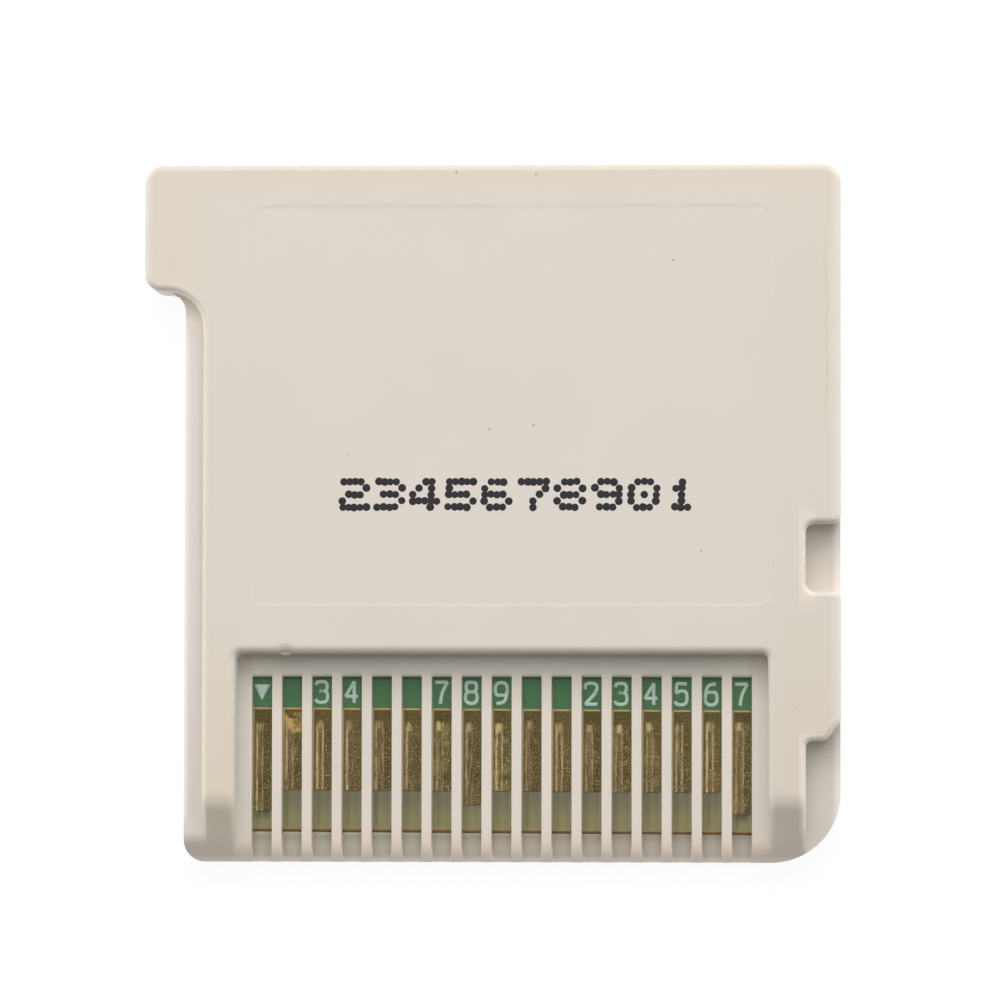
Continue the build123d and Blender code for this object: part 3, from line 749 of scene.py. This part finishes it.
def moulded_plastic():
    """Off-white plastic with faint clouds and a fine moulded grain, with its own tones on each part of the
    card and some traces of use."""
    finish = Finish("moulded_plastic")
    finish.ground(finish.noise(0.25, 4.0), srgb(224, 214, 204), srgb(219, 210, 199))
    above_seam = finish.fade(finish.z, SEAM_LEVEL + 0.02, SEAM_LEVEL + 0.4)
    towards_contacts = finish.fade(finish.y, CONTACT_EDGE + 14.5, CONTACT_EDGE + 3.5)
    notch = finish.band(finish.y, NOTCH_MIDDLE, 2.9)
    side_cuts = finish.strongest(notch, finish.fade(finish.y, STEP_HEAD + 0.6, STEP_HEAD))
    paint_rear_face(finish, above_seam, towards_contacts, side_cuts)
    paint_flange(finish, towards_contacts)
    paint_recess(finish)
    paint_sides(finish, side_cuts)
    paint_traces(finish, above_seam)
    finish.bump(finish.noise(7.0, 3.0), 0.003, 0.5)
    roughness = finish.linear(finish.noise(2.0), 0.12, 0.42)
    return finish.shade(Roughness=roughness, Specular_IOR_Level=0.4)


def paint_stains(finish, number, across, below, grains):
    """Pale smear on one contact, brown spots on another, and painted light along the ribs."""
    fade, product = finish.fade, finish.product
    smear = product(finish.equals(number, SMEARED_CONTACT - 1), finish.band(below, 0.75, 0.6))
    clouds = fade(finish.noise(1.8, 4.0), 0.36, 0.62)
    finish.paint(srgb(156, 127, 80), smear, clouds, fade(grains, 0.2, 0.55))
    spotted = product(finish.equals(number, SPOTTED_CONTACT - 1), finish.band(below, 3.55, 0.65))
    spots = fade(finish.noise(15.0, 2.0), 0.48, 0.6)
    finish.paint(srgb(152, 108, 66), spotted, spots, fade(across, 0.3, 0.65), 0.6)
    # painted light along the ribs
    finish.paint(srgb(164, 145, 110), finish.beside_ribs(across, 0.1), 0.85)


def worn_gold():
    """Tarnished gold plating. Along each contact run two bright wipe lines that join in an arch below the
    head, with a brown track between them. Fine grains sparkle, a scratch runs across, and the edge at the
    head has a painted highlight. Each contact has its own tone and its own share of wear."""
    finish = Finish("worn_gold")
    fade, line, linear, product = finish.fade, finish.line, finish.linear, finish.product
    number, across, below = finish.on_contact()
    drift, onset, first_wear = finish.chances(number)
    tarnish, second_wear, patch = finish.chances(finish.math("ADD", number, SECOND_DRAW))
    grains = finish.noise(11.0, 3.0)
    fibres = fade(finish.noise(1.0, 4.0, finish.stretched(18.0, 0.9)), 0.3, 0.7)
    breaks = fade(finish.noise(1.0, 3.0, finish.stretched(5.0, 2.4)), 0.32, 0.6)
    place = finish.math("ADD", across, linear(finish.noise(1.1), 0.06, -0.03))
    start = finish.math("ADD", linear(onset, 0.22, below), product(fibres, 0.15))
    begun = fade(start, 0.8, 1.1)

    finish.ground(finish.noise(1.3, 3.0), srgb(57, 51, 27), srgb(84, 74, 46))
    patches = product(fade(finish.noise(1.6, 3.0), 0.42, 0.66), patch)
    finish.paint(srgb(128, 112, 76), finish.band(place, 0.42, 0.45), begun, patches, 0.6)
    finish.paint(srgb(43, 37, 20), fade(grains, 0.5, 0.34), 0.6)
    finish.paint(srgb(100, 85, 56), tarnish, 0.3)

    track = finish.mix(fibres, srgb(62, 52, 37), srgb(110, 96, 71))
    finish.paint(track, finish.band(place, 0.45, 0.15), begun, 0.75)
    first = product(line(place, linear(drift, 0.04, 0.333), 0.07), linear(first_wear, 0.7, 0.4))
    second = product(line(place, linear(onset, 0.04, 0.535), 0.05), linear(second_wear, 1.1, -0.1))
    lines = product(finish.strongest(first, second), begun, linear(breaks, 0.7, 0.3))
    arch = product(line(place, 0.43, 0.15), finish.band(start, 1.08, 0.26), linear(patch, 0.8, 0.35))
    finish.paint(srgb(170, 147, 104), finish.strongest(lines, arch), linear(fibres, 0.5, 0.5))

    scratch = line(below, linear(second_wear, 2.4, 1.3), 0.035)
    finish.paint(srgb(155, 137, 101), scratch, fade(finish.noise(2.0), 0.4, 0.6), tarnish, 0.7)
    sparkle = product(fade(grains, 0.55, 0.72), fade(across, -0.2, 0.75), fade(below, -1.2, 2.6))
    finish.paint(srgb(161, 145, 106), sparkle, 0.75)
    paint_stains(finish, number, across, below, grains)
    # painted highlight on the edge at each contact's head
    finish.paint(srgb(147, 124, 82), fade(below, 0.11, 0.06))
    finish.bump(grains, 0.006, 0.5)
    return finish.shade(Metallic=1.0, Roughness=linear(finish.noise(5.0), 0.2, 0.42))


def bare_laminate():
    """Olive laminate without film: greyer below the contacts, yellower towards the cut edge, which is brown.
    A darker trace inside shows as a stripe under each contact, the two outermost are darker in patches below
    their contacts, and painted light lies along the ribs."""
    finish = Finish("bare_laminate")
    fade = finish.fade
    number, across, below = finish.on_contact()
    drift, depth, _ = finish.chances(number)
    from_edge = finish.math("SUBTRACT", BOARD_REACH, below)
    weave = finish.noise(1.0, 3.0, finish.stretched(6.0, 1.2))
    finish.ground(fade(from_edge, 0.5, 1.9), srgb(133, 129, 90), srgb(109, 105, 84))
    finish.paint(srgb(116, 112, 82), weave, 0.35)
    stripe = finish.line(across, finish.linear(drift, 0.08, 0.36), 0.1)
    finish.paint(srgb(80, 78, 56), stripe, finish.linear(depth, 0.4, 0.15))
    middle = (CONTACT_COUNT - 1) / 2
    outermost = finish.equals(finish.distance(number, middle), middle)
    finish.paint(srgb(82, 78, 62), outermost, fade(from_edge, 0.45, 0.95), fade(weave, 0.25, 0.6))
    finish.paint(srgb(146, 132, 92), fade(from_edge, 0.45, 0.12), 0.5)
    # painted light along the ribs
    finish.paint(srgb(176, 167, 140), finish.beside_ribs(across, 0.5), 0.85)
    finish.paint(srgb(146, 116, 74), fade(from_edge, 0.17, 0.1))
    finish.bump(weave, 0.004, 0.5)
    return finish.shade(Roughness=0.5, Specular_IOR_Level=0.25)


def green_film():
    """Green solder mask film, a little uneven over the copper below, with painted light along the ribs."""
    finish = Finish("green_film")
    _, across, _ = finish.on_contact()
    finish.ground(finish.noise(1.6, 4.0), srgb(60, 105, 69), srgb(73, 113, 76))
    # painted light along the ribs
    finish.paint(srgb(112, 138, 112), finish.beside_ribs(across, 0.5), 0.7)
    finish.bump(finish.noise(4.0), 0.004, 0.4)
    return finish.shade(Roughness=0.45, Specular_IOR_Level=0.25)


def uneven_film(name, dark, light, roughness, gloss):
    """Thin film of ink or dirt, or the brown strip for the shaded gap, that is a little uneven in tone."""
    finish = Finish(name)
    finish.ground(finish.noise(5.0, 3.0), dark, light)
    finish.bump(finish.noise(14.0), 0.003, 0.4)
    return finish.shade(Roughness=roughness, Specular_IOR_Level=gloss)


def chip_resin():
    """Black moulding resin with a fine sandy grain."""
    finish = Finish("chip_resin")
    grain = finish.noise(10.0, 3.0)
    finish.ground(grain, srgb(30, 30, 31), srgb(46, 46, 47))
    finish.bump(grain, 0.006, 0.6)
    return finish.shade(Roughness=0.65)


def tinned_metal():
    """Soft grey tin, slightly uneven."""
    finish = Finish("tinned_metal")
    flow = finish.noise(4.0, 3.0)
    finish.ground(flow, srgb(176, 176, 172), srgb(206, 206, 202))
    finish.bump(flow, 0.006, 0.4)
    return finish.shade(Metallic=1.0, Roughness=0.38)


def capacitor_ceramic():
    """Brown ceramic between two tinned ends, told apart by the place along the body."""
    finish = Finish("capacitor_ceramic")
    middle = sum(millimetres("capacitor_2"))[0] / 2
    ends = finish.fade(finish.distance(finish.x, middle), 0.42, 0.47)
    speckle = finish.noise(6.0, 3.0)
    finish.ground(speckle, srgb(140, 104, 74), srgb(162, 124, 92))
    finish.paint(srgb(196, 196, 192), ends)
    finish.bump(speckle, 0.005, 0.4)
    return finish.shade(Metallic=ends, Roughness=0.42)


# Pieces

plastic = moulded_plastic()
for shell in ("front_shell", "rear_shell"):
    copy = add_piece(shell_copy(shell), plastic)
    soften(copy, "soft_rims", RIM_BEVEL, 4, "WEIGHT")
    soften(copy, "soft_edges", EDGE_BEVEL, 2, "ANGLE")
    settle(copy)
    even_normals = copy.modifiers.new("even_normals", "WEIGHTED_NORMAL")
    even_normals.keep_sharp = True
    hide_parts(shell)

code_ink = uneven_film("code_ink", srgb(36, 35, 39), srgb(48, 47, 51), roughness=0.7, gloss=0.2)
screen_ink = uneven_film("screen_ink", srgb(172, 194, 180), srgb(188, 208, 194), roughness=0.5, gloss=0.5)
# brown strip in the board's gap, standing in for the cut edge and the gap's shade
gap_fill = uneven_film("gap_fill", srgb(112, 94, 66), srgb(134, 114, 82), roughness=0.8, gloss=0.3)
dirt = uneven_film("dirt", srgb(154, 138, 110), srgb(178, 163, 134), roughness=0.8, gloss=0.3)
add_piece(moulding_flash(), plastic)
add_piece(code_dots(), code_ink)
add_piece(screen_print(), screen_ink)
add_piece(gap_fill_strip(), gap_fill)
add_piece(dirt_specks(), dirt)

node_finishes = {
    "circuit_board": bare_laminate(),
    "solder_mask": green_film(),
    **dict.fromkeys((f"contact_pad_{number + 1:02d}" for number in range(CONTACT_COUNT)), worn_gold()),
    **dict.fromkeys(("memory_chip", "save_chip"), chip_resin()),
    **dict.fromkeys(("memory_chip_leads", "save_chip_leads"), tinned_metal()),
    **dict.fromkeys(("capacitor_1", "capacitor_2", "capacitor_3"), capacitor_ceramic()),
}
for name, material in node_finishes.items():
    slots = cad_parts[name].data.materials
    slots.clear()
    slots.append(material)


# Floor, light and camera

def seen_directly(tree):
    """Output that is 1 for camera, glossy and transmission rays."""
    path = tree.nodes.new("ShaderNodeLightPath")
    total = path.outputs["Is Camera Ray"]
    for kind in ("Is Glossy Ray", "Is Transmission Ray"):
        both = tree.nodes.new("ShaderNodeMath")
        both.operation = "MAXIMUM"
        tree.links.new(total, both.inputs[0])
        tree.links.new(path.outputs[kind], both.inputs[1])
        total = both.outputs[0]
    return total


def add_floor():
    """Wide white floor just under the card. Seen directly it glows almost white and keeps a faint shadow."""
    corners = [(-1, -1), (1, -1), (1, 1), (-1, 1)]
    points = [(x * FLOOR_HALF, y * FLOOR_HALF, -FLOOR_DROP) for x, y in corners]
    floor = new_object("floor", mesh_of("floor", points, [[0, 1, 2, 3]]))
    material = bpy.data.materials.new("white_floor")
    material.use_nodes = True
    tree = material.node_tree
    plain = tree.nodes["Principled BSDF"]
    plain.inputs["Base Color"].default_value = (FLOOR_WHITE, FLOOR_WHITE, FLOOR_WHITE, 1)
    plain.inputs["Roughness"].default_value = FLOOR_ROUGHNESS
    dim = tree.nodes.new("ShaderNodeBsdfDiffuse")
    dim.inputs["Color"].default_value = (FLOOR_SHADE, FLOOR_SHADE, FLOOR_SHADE, 1)
    glow = tree.nodes.new("ShaderNodeEmission")
    glow.inputs["Strength"].default_value = FLOOR_GLOW
    white = tree.nodes.new("ShaderNodeAddShader")
    tree.links.new(dim.outputs[0], white.inputs[0])
    tree.links.new(glow.outputs[0], white.inputs[1])
    choose = tree.nodes.new("ShaderNodeMixShader")
    tree.links.new(seen_directly(tree), choose.inputs[0])
    tree.links.new(plain.outputs[0], choose.inputs[1])
    tree.links.new(white.outputs[0], choose.inputs[2])
    tree.links.new(choose.outputs[0], tree.nodes["Material Output"].inputs["Surface"])
    floor.data.materials.append(material)


def add_sky():
    """Even sky light, white where it is seen directly."""
    world = bpy.data.worlds.new("sky")
    world.use_nodes = True
    bpy.context.scene.world = world
    tree = world.node_tree
    strength = tree.nodes.new("ShaderNodeMapRange")
    tree.links.new(seen_directly(tree), strength.inputs["Value"])
    strength.inputs["To Min"].default_value = SKY_LEVEL
    strength.inputs["To Max"].default_value = 1.0
    background = tree.nodes["Background"]
    background.inputs["Color"].default_value = SKY_COLOUR
    tree.links.new(strength.outputs[0], background.inputs["Strength"])


def box_energy(level, height, right, up, towards):
    """Power of a soft box that lights a level surface at the origin to a level. The light of a point of the
    box falls with both cosines and with the square of its distance, averaged over a grid of the box."""
    right, up, towards = np.array(right), np.array(up), np.array(towards)
    steps = (np.arange(BOX_STEPS) + 0.5) / BOX_STEPS - 0.5
    across, along = np.meshgrid(steps * BOX_WIDTH, steps * height)
    points = towards * BOX_DISTANCE + across[..., None] * right + along[..., None] * up
    squared = (points ** 2).sum(axis=-1)
    share = np.maximum(points[..., 2], 0) * (points @ towards) / squared ** 2
    return level * pi ** 2 * MM ** 2 / share.mean()


def add_soft_box(name, level, turn, elevation, height, colour):
    """Rectangular lamp that faces the card from its direction."""
    flat = cos(radians(elevation))
    towards = Vector((-flat * sin(radians(turn)), flat * cos(radians(turn)), sin(radians(elevation))))
    right = Vector((0, 0, 1)).cross(towards).normalized()
    up = towards.cross(right)
    lamp = bpy.data.lights.new(name, "AREA")
    lamp.shape = "RECTANGLE"
    lamp.size = BOX_WIDTH * MM
    lamp.size_y = height * MM
    lamp.energy = box_energy(level, height, right, up, towards)
    lamp.color = colour
    axes = Matrix((right, up, towards)).transposed().to_4x4()
    new_object(name, lamp).matrix_world = Matrix.Translation(towards * BOX_DISTANCE * MM) @ axes


def add_camera():
    """Camera of the photograph: looks from its eye to its aim, with +Y up, then rolls a little."""
    lens = bpy.data.cameras.new("camera")
    lens.lens = CAMERA_LENS
    lens.sensor_width = SENSOR_WIDTH
    camera = new_object("camera", lens)
    eye = Vector(CAMERA_EYE) * MM
    forward = (Vector(CAMERA_AIM) * MM - eye).normalized()
    right = forward.cross(Vector((0, 1, 0))).normalized()
    up = right.cross(forward)
    turned = right * cos(CAMERA_ROLL) + up * sin(CAMERA_ROLL)
    upright = up * cos(CAMERA_ROLL) - right * sin(CAMERA_ROLL)
    axes = Matrix((turned, upright, -forward)).transposed().to_4x4()
    camera.matrix_world = Matrix.Translation(eye) @ axes
    bpy.context.scene.camera = camera


add_floor()
add_sky()
for box_name, box_values in SOFT_BOXES.items():
    add_soft_box(box_name, *box_values)
add_camera()
bpy.context.scene.view_settings.view_transform = "Standard"
